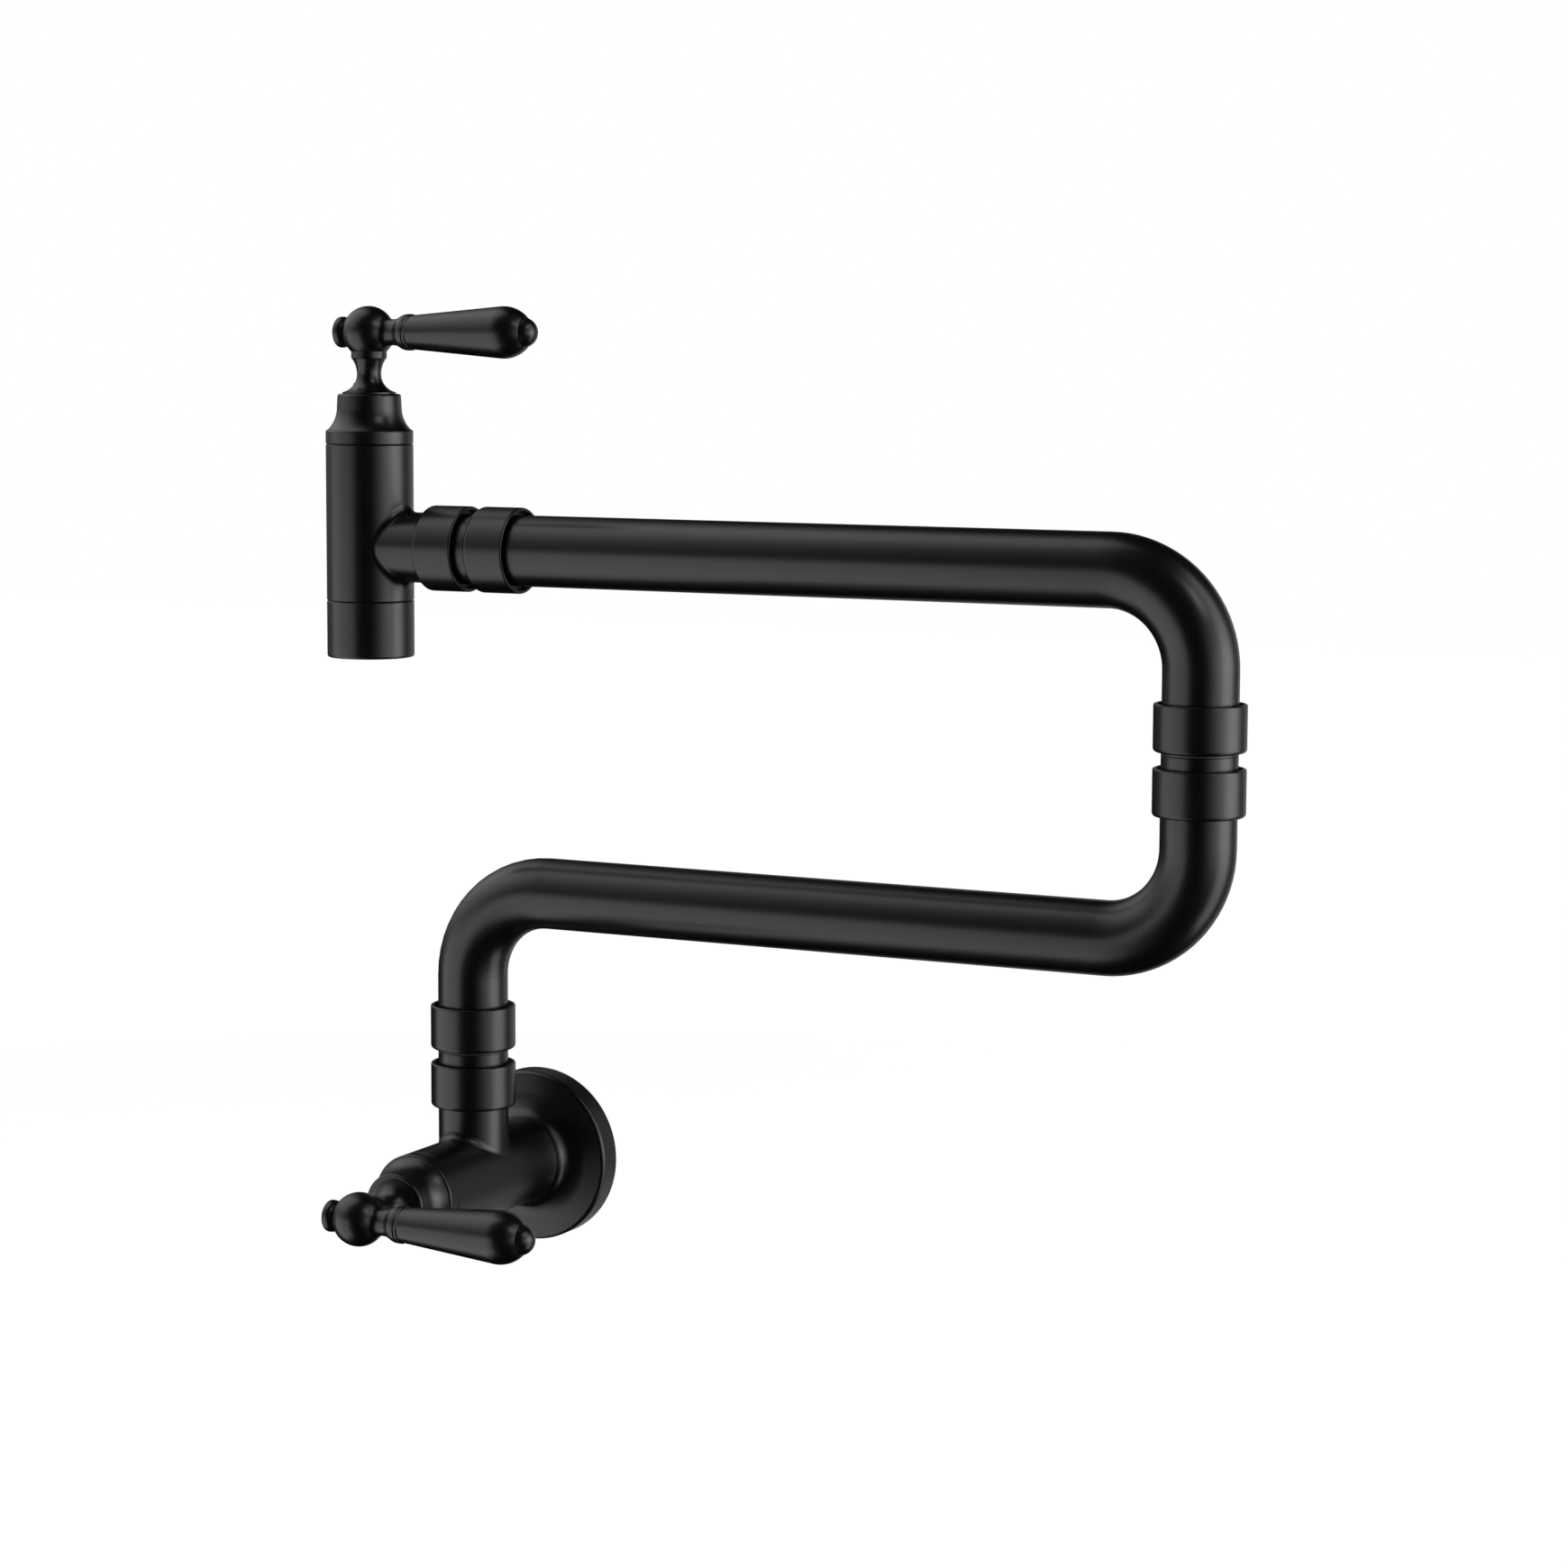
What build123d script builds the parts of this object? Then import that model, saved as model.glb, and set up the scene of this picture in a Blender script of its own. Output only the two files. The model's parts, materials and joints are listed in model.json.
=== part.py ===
from build123d import *
import math
import os

# Wall-mounted pot filler in millimetres, +Z up, +X to the right along the wall. The origin is where
# the inlet's axis meets the finished wall: the wall is the plane Y = 0 and the room is on the -Y side.
# The arms are folded along the wall. Each piece is written to its own file under its node's name.

# Arms
TUBE_D = 24.0
TUBE_WALL = 1.5
BEND_R = 30.2
WALL_TO_SWIVEL = 47.2
LOWER_ARM = 262.0
UPPER_ARM = 302.4
LOWER_ARM_Z = 100.8
UPPER_ARM_Z = 216.7

# Two-collar joint, measured along its axis from the lower end of its first collar
COLLAR_D = 29.1
COLLAR_LEN = 15.1
COLLAR_ROUND = 1.3
COLLAR_GAP = 5.0
RECESS_D = 26.8
RECESS_DEPTH = 2.0
RIM_ROUND = 0.6
RECESS_ROUND = 0.2
NECK_LEN = 25.2
NECK_TAIL = 6.0
SPINDLE_SHANK = 6.0
WASHER_T = 0.7
WASHER_PLAY = 0.1
NUT_FLOOR = 3.9
JOURNAL_D = 17.8
BUSH_LEN = 8.0
JOURNAL_PAST_BUSH = 2.5
CLIP_T = 0.9
CLIP_REACH = 1.1
CLIP_OPENING = 2.4
CLIP_BITE = 0.8
O_RING_SECTION = 1.3
O_RING_SPACING = 3.2
UNION_JOURNAL = 14.5

# Valve barrel, measured along the stem from the axis of its neck
BODY_D = 30.0
BODY_TOP = 35.0
SEAM = 0.35
SADDLE_FILLET = 3.3
SEAT_DEPTH = 12.0
WATERWAY_D = 12.0
SEAT_WATERWAY_D = 11.0
INLET_GAP = 1.5
INLET_THREAD_D = 19.2
INLET_THREAD_LEN = 15.0

# Escutcheon, measured from the wall
FLANGE_D = 60.4
FLANGE_RIM = 7.8
FLANGE_CORNER = 1.5
FLANGE_WALL = 1.7
FLANGE_DISH_TILT = 11.0
FLANGE_FLARE_W = 5.0
FLANGE_FLARE_TILT = 32.0
FLANGE_COVE_W = 1.6
FLANGE_COVE_TILT = 63.0
FLANGE_CROWN_W = 1.35
FLANGE_CROWN_TILT = 30.0
FLANGE_SLEEVE = 2.2
FLANGE_SHELF = 3.1
FLANGE_SHELL = 1.9
GASKET_T = 1.5
FLANGE_SEAL_AT = 10.5

# Bonnet
BONNET_RING = 4.15
BONNET_ROUND = 0.8
BONNET_H = 17.1
BONNET_NECK_D = 22.2
BONNET_TOP_D = 21.8
BONNET_COVE_TOP = 12.5
BONNET_PLATE = 3.6
STEM_HOLE_GAP = 0.5

# Cartridge
SEAL_T = 2.2
DISC_D = 17.0
DISC_T = 2.5
DISC_SLOT_DEPTH = 0.9
DISC_RIM = 2.4
DISC_BAR_MARGIN = 0.5
DISC_GAP = 0.2
HOUSING_WALL = 1.45
HOUSING_GAP = 0.25
HOUSING_SHOULDER = 20.0
HOUSING_STEP = 6.8
HOUSING_NECK_D = 12.8
HOUSING_TOP = 44.0
WINDOW_W = 7.0
WINDOW_H = 7.3
STEM_D = 8.0
STEM_END_D = 7.0
STEM_FLANGE_T = 3.0
STEM_TOP = 57.0
TONGUE_W = 3.0
TONGUE_L = 11.0
STOP_H = 1.6
STOP_GAP = 0.15
LUG_ANGLE = 40.0
LUG_D = 12.4
QUARTER_TURN = 90.0
STOP_PLAY = 0.5
NUT_STEP = 0.6
NUT_FLANGE_T = 3.5
NUT_NECK_D = 18.6
NUT_NECK_TOP = 46.0
HOUSING_SEAL_AT = 12.0
STEM_SEAL_AT = 30.0

# Handle, measured along the stem from the axis of the neck
HUB_GAP = 0.1
HUB_BASE_D = 18.4
HUB_BASE_T = 0.5
HUB_WAIST_D = 8.3
HUB_WAIST_AT = 58.9
HUB_RING_D = 12.2
HUB_RING_START = 64.0
HUB_RING_T = 3.1
BALL_D = 17.9
BALL_AT = 73.1
SOCKET_PAST_STEM = 0.3
SET_SCREW_D = 3.0
SET_SCREW_AT = 54.5
SET_SCREW_SINK = 0.3
HEX_KEY_AF = 1.5
HEX_KEY_DEPTH = 1.2

# Lever, measured from the ball's centre
STUB_NECK_D = 8.9
STUB_ROOT_ROUND = 3.5
STUB_NECK_LEN = 0.5
STUB_TURN_AT = 13.4
STUB_TURN_D = 10.8
STUB_RING_D = 12.4
STUB_RING_END = 16.4
GRIP_BEAD_END = 17.4
GRIP_START_D = 11.6
GRIP_BELLY_D = 17.5
GRIP_BELLY_AT = 52.7
GRIP_END = 61.9
GRIP_END_D = 10.2
GRIP_SPIGOT_D = 6.0
GRIP_SPIGOT_LEN = 7.5
TIP_GROOVE = 0.3
TIP_GROOVE_D = 9.2
TIP_D = 9.8
TIP_H = 3.85
TIP_SHANK_D = 4.0
TIP_SHANK_LEN = 11.0
FINIAL_SEAT = 8.0
FINIAL_BEAD_D = 10.6
FINIAL_BEAD_AT = 10.2
FINIAL_BEAD_T = 0.7
FINIAL_FACE_D = 8.8
FINIAL_FACE_AT = 11.9
FINIAL_END = 12.25
FINIAL_SHANK_D = 4.0
FINIAL_SHANK_LEN = 4.0

# Outlet, measured down from the axis of the upper arm
OUTLET_SEAM = 18.6
OUTLET_END = 38.1
OUTLET_ROUND = 0.9
OUTLET_THROAT = 7.5
SPIGOT_D = 24.8
SPIGOT_LEN = 7.4
SPIGOT_BORE_D = 19.0
AERATOR_D = 22.3
AERATOR_SEAT_D = 20.0
AERATOR_LIP = 1.2
AERATOR_H = 9.0
AERATOR_WALL = 1.4
AERATOR_PLATE = 1.2
AERATOR_HOLE_D = 1.5
AERATOR_PITCH = 2.3
AERATOR_RINGS = 3
AERATOR_WASHER_T = 1.4

# Clearances: FIT between fixed pieces, RUN between pieces that turn, LOOSE where nothing touches
FIT = 0.05
RUN = 0.05
LOOSE = 0.3

TUBE_R = TUBE_D / 2
TUBE_BORE_R = TUBE_R - TUBE_WALL
BODY_R = BODY_D / 2
COLLAR_R = COLLAR_D / 2
CUP_R = DISC_D / 2 + DISC_GAP
HOUSING_R = CUP_R + HOUSING_WALL
CHAMBER_R = HOUSING_R + HOUSING_GAP
NUT_CORNER_R = (CHAMBER_R + NUT_STEP) * 2 / math.sqrt(3)
WATERWAY_R = WATERWAY_D / 2
NUT_COLLAR_START = COLLAR_LEN + COLLAR_GAP
JOINT_LEN = NUT_COLLAR_START + COLLAR_LEN
TUBE_SEAT = NUT_COLLAR_START + NUT_FLOOR
ELBOW_START = (LOWER_ARM_Z + UPPER_ARM_Z - JOINT_LEN) / 2
SPOUT_X = LOWER_ARM - UPPER_ARM
BONNET_TOP = BODY_TOP + BONNET_H
HUB_BASE = BONNET_TOP + HUB_GAP

FLOOR = (Align.CENTER, Align.CENTER, Align.MIN)

# Frames: Z of a valve frame runs out along its stem and X along its lever
WALL_VALVE = Plane((0, -WALL_TO_SWIVEL, 0), x_dir=(1, 0, 0), z_dir=(0, -1, 0))
SPOUT_VALVE = Plane((SPOUT_X, -WALL_TO_SWIVEL, UPPER_ARM_Z))
WALL_SWIVEL = Plane((0, -WALL_TO_SWIVEL, NECK_LEN))
ELBOW_SWIVEL = Plane((LOWER_ARM, -WALL_TO_SWIVEL, ELBOW_START))
SPOUT_UNION = Plane((SPOUT_X + NECK_LEN, -WALL_TO_SWIVEL, UPPER_ARM_Z), x_dir=(0, 1, 0), z_dir=(1, 0, 0))
LEVER = Plane((0, 0, BALL_AT), x_dir=(0, 1, 0), z_dir=(1, 0, 0))
BACK_OF_BALL = Plane((0, 0, BALL_AT), x_dir=(0, 1, 0), z_dir=(-1, 0, 0))

pieces = {}


def place(frame, shapes):
    """Adds the shapes to the model, moved from their own frame into the model's."""
    for name, shape in shapes.items():
        pieces[name] = frame.location * shape


def disc(radius, low, high):
    """A cylinder about Z between two heights."""
    return Pos(0, 0, low) * Cylinder(radius, high - low, align=FLOOR)


def ring(outer, inner, low, high):
    """A plain ring about Z between two heights."""
    return disc(outer, low, high) - disc(inner, low, high)


def lathe(*corners):
    """A turned solid about Z. Each corner is (radius, height) or (radius, height, rounding)."""
    points = [corner[:2] for corner in corners]
    rounding = [corner[2] if len(corner) == 3 else 0 for corner in corners]
    outline = FilletPolyline(*points, radius=rounding, close=True)
    return revolve(make_face(Plane.XZ * outline), Axis.Z)


def lathe_curves(*edges):
    """A turned solid about Z from an outline of lines and arcs, given as (radius, height)."""
    return revolve(make_face(Plane.XZ * (Curve() + list(edges))), Axis.Z)


def round_section_ring(groove_floor, bore, height):
    """An O-ring that fills the space between a groove's floor and a bore, less a fit on each side."""
    section_r = (bore - groove_floor) / 2 - FIT / 2
    return Pos(0, 0, height) * Torus((bore + groove_floor) / 2, section_r)


def o_ring_groove(outer, floor_r, height):
    """The ring of metal that is cut away for an O-ring."""
    half = O_RING_SECTION / 2 + FIT * 2
    return ring(outer, floor_r, height - half, height + half)


def seal_heights():
    """Heights of the two O-rings of a two-collar joint."""
    first = TUBE_SEAT + O_RING_SECTION + LOOSE
    return [first, first + O_RING_SPACING]


def joint_spindle(journal_r, journal_end, tail_bore_r):
    """Hollow spindle: a shank in the neck below, the shoulder that shows in the gap, and the journal."""
    shoulder_end = NUT_COLLAR_START - WASHER_T - WASHER_PLAY
    body = lathe(
        (WATERWAY_R, -SPINDLE_SHANK),
        (tail_bore_r - FIT, -SPINDLE_SHANK),
        (tail_bore_r - FIT, NECK_TAIL),
        (TUBE_R, NECK_TAIL),
        (TUBE_R, shoulder_end, SEAM),
        (journal_r, shoulder_end),
        (journal_r, journal_end, SEAM),
        (WATERWAY_R, journal_end),
    )
    for height in seal_heights():
        body -= o_ring_groove(journal_r + LOOSE, journal_r - O_RING_SECTION, height)
    return body


def joint_o_rings(journal_r, bore_r):
    """Two O-rings in the grooves of the spindle."""
    first, second = seal_heights()
    groove_floor = journal_r - O_RING_SECTION
    return round_section_ring(groove_floor, bore_r, first) + round_section_ring(groove_floor, bore_r, second)


def joint_washer(journal_r):
    """Thrust washer between the spindle's shoulder and the turning collar."""
    low = NUT_COLLAR_START - WASHER_T - WASHER_PLAY
    return ring(TUBE_R, journal_r + RUN, low, low + WASHER_T)


def lower_collar():
    """Fixed collar: it closes round the neck's end and the spindle's shoulder."""
    bore = TUBE_R + FIT
    return lathe(
        (bore, 0),
        (COLLAR_R, 0, COLLAR_ROUND),
        (COLLAR_R, COLLAR_LEN, RIM_ROUND),
        (RECESS_D / 2, COLLAR_LEN, RECESS_ROUND),
        (RECESS_D / 2, COLLAR_LEN - RECESS_DEPTH),
        (bore, COLLAR_LEN - RECESS_DEPTH),
    )


def upper_collar(journal_bore_r):
    """Collar of the next piece: its floor goes round the journal and the tube stands on that floor."""
    bore = TUBE_R + FIT
    low, high = NUT_COLLAR_START, JOINT_LEN
    return lathe(
        (journal_bore_r, low),
        (COLLAR_R, low, COLLAR_ROUND),
        (COLLAR_R, high, RIM_ROUND),
        (RECESS_D / 2, high, RECESS_ROUND),
        (RECESS_D / 2, high - RECESS_DEPTH),
        (bore, high - RECESS_DEPTH),
        (bore, TUBE_SEAT),
        (journal_bore_r, TUBE_SEAT),
    )


def retaining_clip(journal_r, low):
    """Split ring that keeps the turning arm from lifting."""
    whole = ring(journal_r + CLIP_REACH, journal_r - CLIP_BITE + FIT, low, low + CLIP_T)
    gap = Pos(0, journal_r, low) * Box(CLIP_OPENING, journal_r, CLIP_T * 3)
    return whole - gap


def turning_joint(name, frame):
    """A swivel: the spindle stays with the piece below and the nut collar turns with the tube above."""
    journal_r = JOURNAL_D / 2
    bush_end = TUBE_SEAT + BUSH_LEN
    journal_end = bush_end + JOURNAL_PAST_BUSH
    clip_low = bush_end + LOOSE
    clip_groove = ring(journal_r + LOOSE, journal_r - CLIP_BITE, clip_low - FIT, clip_low + CLIP_T + FIT)
    place(frame, {
        name + "_collar": lower_collar(),
        name + "_spindle": joint_spindle(journal_r, journal_end, TUBE_BORE_R) - clip_groove,
        name + "_o_rings": joint_o_rings(journal_r, journal_r + RUN),
        name + "_washer": joint_washer(journal_r),
        name + "_clip": retaining_clip(journal_r, clip_low),
        name + "_nut": upper_collar(journal_r + RUN),
        name + "_bush": ring(TUBE_BORE_R - FIT, journal_r + RUN, TUBE_SEAT, bush_end),
    })


def fixed_union(name, frame):
    """The same pair of collars at the spout, with a full-bore nipple held by a lock screw."""
    journal_r = TUBE_BORE_R - FIT
    floor_bore = TUBE_BORE_R
    screw_at = (NUT_COLLAR_START + TUBE_SEAT) / 2
    across = Plane((0, 0, screw_at), x_dir=(0, 0, 1), z_dir=(1, 0, 0))
    screw_hole = across.location * disc(SET_SCREW_D / 2 + FIT, journal_r - LOOSE, COLLAR_R + LOOSE)
    screw_end = COLLAR_R - SET_SCREW_SINK
    screw = across.location * set_screw(floor_bore, screw_end)
    place(frame, {
        name + "_collar": lower_collar(),
        name + "_nipple": joint_spindle(journal_r, TUBE_SEAT + UNION_JOURNAL, TUBE_BORE_R),
        name + "_o_rings": joint_o_rings(journal_r, TUBE_BORE_R),
        name + "_washer": joint_washer(journal_r),
        name + "_nut": upper_collar(floor_bore) - screw_hole,
        name + "_lock_screw": screw,
    })


def set_screw(low, high):
    """Headless screw along Z with a hexagon socket in its outer end."""
    socket = RegularPolygon(HEX_KEY_AF / math.sqrt(3), 6)
    return disc(SET_SCREW_D / 2, low, high) - extrude(Pos(0, 0, high - HEX_KEY_DEPTH) * socket, HEX_KEY_DEPTH)


def saddle_edges(shape):
    """The curved edge where a neck runs into a barrel."""
    return [edge for edge in shape.edges() if edge.geom_type not in (GeomType.LINE, GeomType.CIRCLE)]


def valve_barrel(rear):
    """Barrel with its neck along +X, the fillet between them, the cartridge chamber and the neck's bore."""
    neck = Plane((0, 0, 0), x_dir=(0, 1, 0), z_dir=(1, 0, 0)).location
    barrel = lathe(
        (0, rear),
        (BODY_R - SEAM, rear),
        (BODY_R, rear + SEAM),
        (BODY_R, BODY_TOP - SEAM),
        (BODY_R - SEAM, BODY_TOP),
        (0, BODY_TOP),
    )
    body = barrel + neck * disc(TUBE_R, 0, NECK_LEN + NECK_TAIL)
    body = fillet(saddle_edges(body), SADDLE_FILLET)
    body -= disc(CHAMBER_R, -SEAT_DEPTH, BODY_TOP)
    body -= neck * disc(WATERWAY_R, 0, NECK_LEN)
    return body - neck * disc(TUBE_BORE_R, NECK_LEN - SPINDLE_SHANK, NECK_LEN + NECK_TAIL)


def wall_valve_body():
    """The fixed valve: its neck stands up and its rear end screws on to the supply nipple in the wall."""
    rear = INLET_GAP - WALL_TO_SWIVEL
    body = Rot(0, 0, 90) * valve_barrel(rear)
    body -= disc(SEAT_WATERWAY_D / 2, rear, -SEAT_DEPTH)
    return body - disc(INLET_THREAD_D / 2, rear, rear + INLET_THREAD_LEN)


def spout_valve_body():
    """The spout valve: water comes in at the side and leaves at the foot, through a threaded spigot."""
    spigot_end = -OUTLET_SEAM - SPIGOT_LEN
    throat = -SEAT_DEPTH - OUTLET_THROAT
    body = valve_barrel(-OUTLET_SEAM)
    body += lathe((0, -OUTLET_SEAM), (SPIGOT_D / 2, -OUTLET_SEAM), (SPIGOT_D / 2, spigot_end, SEAM), (0, spigot_end))
    body -= disc(SEAT_WATERWAY_D / 2, throat, -SEAT_DEPTH)
    return body - disc(SPIGOT_BORE_D / 2, spigot_end, throat)


def bonnet():
    """Cover that screws down over the gland nut: a plain ring, a cove and a flat top."""
    neck_r = BONNET_NECK_D / 2
    top_r = BONNET_TOP_D / 2
    ring_top = BODY_TOP + BONNET_RING
    cove_foot = (BODY_R - BONNET_ROUND, ring_top + BONNET_ROUND)
    cove_top = (neck_r, BODY_TOP + BONNET_COVE_TOP)
    plate_low = BONNET_TOP - BONNET_PLATE
    cavity_top = BODY_TOP + NUT_FLANGE_T + LOOSE
    outside = lathe_curves(
        Line((0, BODY_TOP), (BODY_R - SEAM, BODY_TOP)),
        Line((BODY_R - SEAM, BODY_TOP), (BODY_R, BODY_TOP + SEAM)),
        Line((BODY_R, BODY_TOP + SEAM), (BODY_R, ring_top)),
        TangentArc((BODY_R, ring_top), cove_foot, tangent=(0, 1)),
        TangentArc(cove_top, cove_foot, tangent=(0, -1)),
        Line(cove_top, (top_r, BONNET_TOP - BONNET_ROUND)),
        TangentArc((top_r, BONNET_TOP - BONNET_ROUND), (top_r - BONNET_ROUND, BONNET_TOP), tangent=(0, 1)),
        Line((top_r - BONNET_ROUND, BONNET_TOP), (0, BONNET_TOP)),
        Line((0, BONNET_TOP), (0, BODY_TOP)),
    )
    outside -= disc(NUT_CORNER_R + LOOSE, BODY_TOP, cavity_top)
    outside -= disc(NUT_NECK_D / 2 + FIT, cavity_top, plate_low)
    return outside - disc(STEM_END_D / 2 + STEM_HOLE_GAP, plate_low, BONNET_TOP)


def cartridge_nut():
    """Gland nut: threaded into the barrel, with a hexagon flange and a neck that the bonnet screws on."""
    low = HOUSING_SHOULDER + FIT
    flange_top = BODY_TOP + NUT_FLANGE_T
    hexagon = extrude(Pos(0, 0, BODY_TOP) * RegularPolygon(NUT_CORNER_R, 6), NUT_FLANGE_T)
    body = disc(CHAMBER_R - FIT, low, BODY_TOP) + hexagon + disc(NUT_NECK_D / 2, flange_top, NUT_NECK_TOP)
    return body - disc(HOUSING_NECK_D / 2 + FIT * 2, low, NUT_NECK_TOP)


def cartridge_housing():
    """Cartridge housing: discs below, four windows, the stem's bearing, and the stop at the top."""
    foot = -SEAT_DEPTH + LOOSE
    body = lathe(
        (0, foot),
        (HOUSING_R, foot),
        (HOUSING_R, HOUSING_SHOULDER),
        (HOUSING_NECK_D / 2, HOUSING_SHOULDER),
        (HOUSING_NECK_D / 2, HOUSING_TOP),
        (0, HOUSING_TOP),
    )
    body -= disc(CUP_R, foot, HOUSING_STEP)
    body -= disc(STEM_D / 2 + RUN, HOUSING_STEP, HOUSING_TOP)
    body -= o_ring_groove(CHAMBER_R, CHAMBER_R - O_RING_SECTION, HOUSING_SEAL_AT)
    body -= o_ring_groove(STEM_D / 2 + O_RING_SECTION, STEM_D / 2, STEM_SEAL_AT)
    window = Box(HOUSING_R * 4, WINDOW_W, WINDOW_H)
    window_at = Pos(0, 0, HOUSING_STEP - STEM_FLANGE_T - LOOSE - WINDOW_H / 2)
    body -= window_at * window
    body -= window_at * Rot(0, 0, 90) * window
    return body + stop_sector()


def stop_sector():
    """Part ring on the housing's top: its two ends stop the stem's lug a quarter turn apart."""
    free = QUARTER_TURN + LUG_ANGLE + STOP_PLAY * 2
    low, high = HOUSING_TOP, HOUSING_TOP + STOP_H
    whole = ring(HOUSING_NECK_D / 2, STEM_D / 2 + LOOSE * 2, low, high)
    mid_angle = -QUARTER_TURN / 2
    return whole - Rot(0, 0, mid_angle) * wedge(free, HOUSING_NECK_D, low, high)


def wedge(angle, radius, low, high):
    """A pie slice about +X between two heights."""
    half = math.radians(angle / 2)
    steps = [half * (i / 3 - 1) for i in range(7)]
    rim = [(radius * math.cos(a) / math.cos(half / 6), radius * math.sin(a) / math.cos(half / 6)) for a in steps]
    return Pos(0, 0, low) * extrude(make_face(Polyline((0, 0), *rim, close=True)), high - low)


def stem():
    """Stem: a tongue in the moving disc, a flange under the housing's step, the lug and the handle's seat."""
    flange_low = HOUSING_STEP - LOOSE - STEM_FLANGE_T
    tongue_low = disc_levels()[2] - DISC_SLOT_DEPTH + FIT
    lug_low = HOUSING_TOP + STOP_GAP
    lug_high = HOUSING_TOP + STOP_H
    body = disc(DISC_D / 2 - LOOSE, flange_low, flange_low + STEM_FLANGE_T)
    body += disc(STEM_D / 2, flange_low, HOUSING_TOP + STOP_H)
    body += disc(STEM_END_D / 2, HOUSING_TOP + STOP_H, STEM_TOP)
    body += Pos(0, 0, tongue_low) * Box(TONGUE_L, TONGUE_W, flange_low - tongue_low, align=FLOOR)
    body += disc(LUG_D / 2, lug_low, lug_high) & wedge(LUG_ANGLE, LUG_D, lug_low, lug_high)
    return body


def disc_levels():
    """Heights of the fixed disc's foot, the face between the discs, and the moving disc's top."""
    foot = -SEAT_DEPTH + SEAL_T
    return [foot, foot + DISC_T, foot + DISC_T * 2]


def half_moon(low, high):
    """The opening in each ceramic disc, on the +Y side."""
    bar_edge = TONGUE_W / 2 + DISC_BAR_MARGIN
    below_bar = Box(DISC_D, DISC_D, high - low, align=(Align.CENTER, Align.MAX, Align.MIN))
    return disc(DISC_D / 2 - DISC_RIM, low, high) - Pos(0, bar_edge, low) * below_bar


def fixed_disc():
    """Ceramic disc with two openings, pressed on the seal."""
    low, face, _ = disc_levels()
    opening = half_moon(low, face - FIT)
    return disc(DISC_D / 2, low, face - FIT) - opening - Rot(0, 0, 180) * opening


def moving_disc():
    """Ceramic disc with two openings a quarter turn off, and the slot that the stem's tongue drives."""
    _, face, top = disc_levels()
    opening = half_moon(face, top)
    slot = Pos(0, 0, top - DISC_SLOT_DEPTH) * Box(
        TONGUE_L + LOOSE, TONGUE_W + FIT * 2, DISC_SLOT_DEPTH, align=FLOOR
    )
    quarter = Rot(0, 0, 90)
    return quarter * (disc(DISC_D / 2, face, top) - opening - Rot(0, 0, 180) * opening) - slot


def cartridge_o_rings():
    """The seal round the housing and the seal round the stem."""
    outer = round_section_ring(CHAMBER_R - O_RING_SECTION, CHAMBER_R, HOUSING_SEAL_AT)
    inner = round_section_ring(STEM_D / 2, STEM_D / 2 + O_RING_SECTION, STEM_SEAL_AT)
    return outer + inner


def handle_hub():
    """Trumpet foot, ring, ball and lever stub in one casting."""
    waist_r = HUB_WAIST_D / 2
    base_r = HUB_BASE_D / 2
    ring_r = HUB_RING_D / 2
    ring_top = HUB_RING_START + HUB_RING_T
    foot_top = (base_r, HUB_BASE + HUB_BASE_T)
    waist = (waist_r, HUB_WAIST_AT)
    ring_foot = (ring_r - SEAM, HUB_RING_START)
    foot = lathe_curves(
        Line((0, HUB_BASE), (base_r, HUB_BASE)),
        Line((base_r, HUB_BASE), foot_top),
        TangentArc(waist, foot_top, tangent=(0, -1)),
        TangentArc(waist, ring_foot, tangent=(0, 1)),
        Line(ring_foot, (ring_r, HUB_RING_START + SEAM)),
        Line((ring_r, HUB_RING_START + SEAM), (ring_r, ring_top - SEAM)),
        Line((ring_r, ring_top - SEAM), (ring_r - SEAM, ring_top)),
        Line((ring_r - SEAM, ring_top), (0, ring_top)),
        Line((0, ring_top), (0, HUB_BASE)),
    )
    stub_r = STUB_RING_D / 2
    neck_r = STUB_NECK_D / 2
    ball_r = BALL_D / 2
    round_at = math.sqrt((ball_r + STUB_ROOT_ROUND) ** 2 - (neck_r + STUB_ROOT_ROUND) ** 2)
    on_ball = ball_r / (ball_r + STUB_ROOT_ROUND)
    root = ((neck_r + STUB_ROOT_ROUND) * on_ball, round_at * on_ball)
    neck = (neck_r, round_at + STUB_NECK_LEN)
    turn = (STUB_TURN_D / 2, STUB_TURN_AT)
    shoulder_at = turn[1] + (stub_r - turn[0]) * (turn[1] - neck[1]) / (turn[0] - neck_r)
    stub = lathe_curves(
        Line((0, 0), root),
        TangentArc((neck_r, round_at), root, tangent=(0, -1)),
        Line((neck_r, round_at), neck),
        TangentArc(neck, turn, tangent=(0, 1)),
        TangentArc((stub_r, shoulder_at), turn, tangent=(0, -1)),
        Line((stub_r, shoulder_at), (stub_r, STUB_RING_END - SEAM)),
        Line((stub_r, STUB_RING_END - SEAM), (stub_r - SEAM, STUB_RING_END)),
        Line((stub_r - SEAM, STUB_RING_END), (0, STUB_RING_END)),
        Line((0, STUB_RING_END), (0, 0)),
    )
    spigot_hole = disc(GRIP_SPIGOT_D / 2 + FIT, STUB_RING_END - GRIP_SPIGOT_LEN - LOOSE, STUB_RING_END)
    finial_hole = disc(FINIAL_SHANK_D / 2 + FIT, FINIAL_SEAT - FINIAL_SHANK_LEN - LOOSE, BALL_D)
    hub = foot + Pos(0, 0, BALL_AT) * Sphere(ball_r) + LEVER.location * stub
    hub -= LEVER.location * spigot_hole
    hub -= BACK_OF_BALL.location * disc(BALL_D, FINIAL_SEAT, BALL_D)
    hub -= BACK_OF_BALL.location * finial_hole
    hub -= disc(STEM_END_D / 2 + FIT, HUB_BASE, STEM_TOP + SOCKET_PAST_STEM)
    return hub - screw_axis().location * disc(SET_SCREW_D / 2 + FIT, STEM_END_D / 2, BODY_R)


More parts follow.
